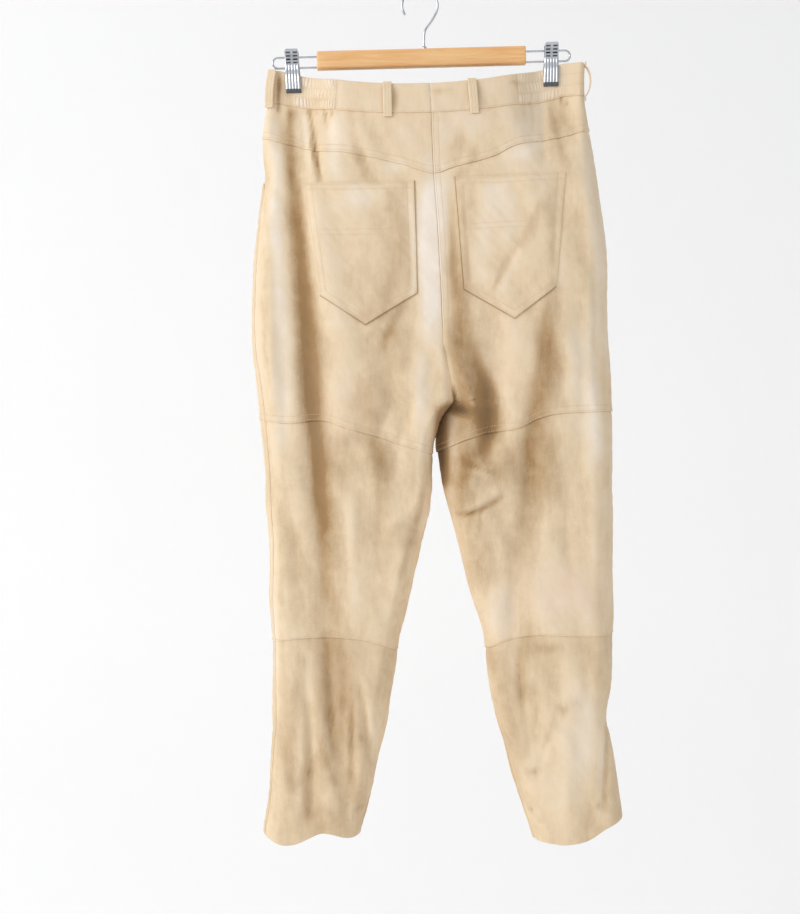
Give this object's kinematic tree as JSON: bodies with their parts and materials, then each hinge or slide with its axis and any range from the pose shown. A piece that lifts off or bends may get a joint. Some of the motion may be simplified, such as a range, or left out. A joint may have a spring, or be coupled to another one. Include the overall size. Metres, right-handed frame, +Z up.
{
  "type": "suede trousers on a clip hanger",
  "caption": "High-waisted suede trousers with shirred elastic at the back of the waist, hung by the waistband from a wooden hanger with two spring clips.",
  "frame": {"origin": "the seat of the hanger's hook: the highest point inside its arc, where a rod carries it", "axes": "+Z is up, +X runs along the hanger's bar towards the wearer's right leg, and the back of the trousers faces -Y"},
  "size_m": [0.4532, 0.0822, 1.0848],
  "materials": {
    "suede": "pale beige suede with a mottled nap",
    "suede_lower": "pale beige suede, a little browner, with a mottled nap and small stains",
    "suede_band": "pale beige suede, two layers stitched",
    "suede_shirred": "suede shirred on elastic in three channels",
    "suede_loop": "narrow suede strap with two rows of stitching",
    "suede_pocket": "suede patch with double topstitching",
    "horn": "horn-look four-hole button",
    "wood": "clear-varnished honey-coloured beech",
    "chrome": "bright chrome-plated steel"
  },
  "bodies": {
    "root": {"back_lower_left": "suede_lower", "back_lower_right": "suede_lower", "back_middle_left": "suede", "back_middle_right": "suede", "back_pocket_left": "suede_pocket", "back_pocket_right": "suede_pocket", "back_upper_left": "suede", "back_upper_right": "suede", "belt_loop_back_left": "suede_loop", "belt_loop_back_right": "suede_loop", "belt_loop_front_left": "suede_loop", "belt_loop_front_right": "suede_loop", "belt_loop_side_left": "suede_loop", "belt_loop_side_right": "suede_loop", "clip_jaw_back_left": "chrome", "clip_jaw_back_right": "chrome", "clip_jaw_front_left": "chrome", "clip_jaw_front_right": "chrome", "clip_spring_left": "chrome", "clip_spring_right": "chrome", "fly_facing": "suede_pocket", "front_lower_left": "suede_lower", "front_lower_right": "suede_lower", "front_middle_left": "suede", "front_middle_right": "suede", "front_upper_left": "suede", "front_upper_right": "suede", "hanger_bar": "wood", "hanger_hook": "chrome", "hanger_rail_left": "chrome", "hanger_rail_right": "chrome", "pocket_facing_left": "suede_pocket", "pocket_facing_right": "suede_pocket", "waist_button": "horn", "waistband_back_left": "suede_band", "waistband_back_right": "suede_band", "waistband_elastic_left": "suede_shirred", "waistband_elastic_right": "suede_shirred", "waistband_front_left": "suede_band", "waistband_front_right": "suede_band", "waistband_tab": "suede_band", "yoke_left": "suede", "yoke_right": "suede"}
  },
  "joints": []
}
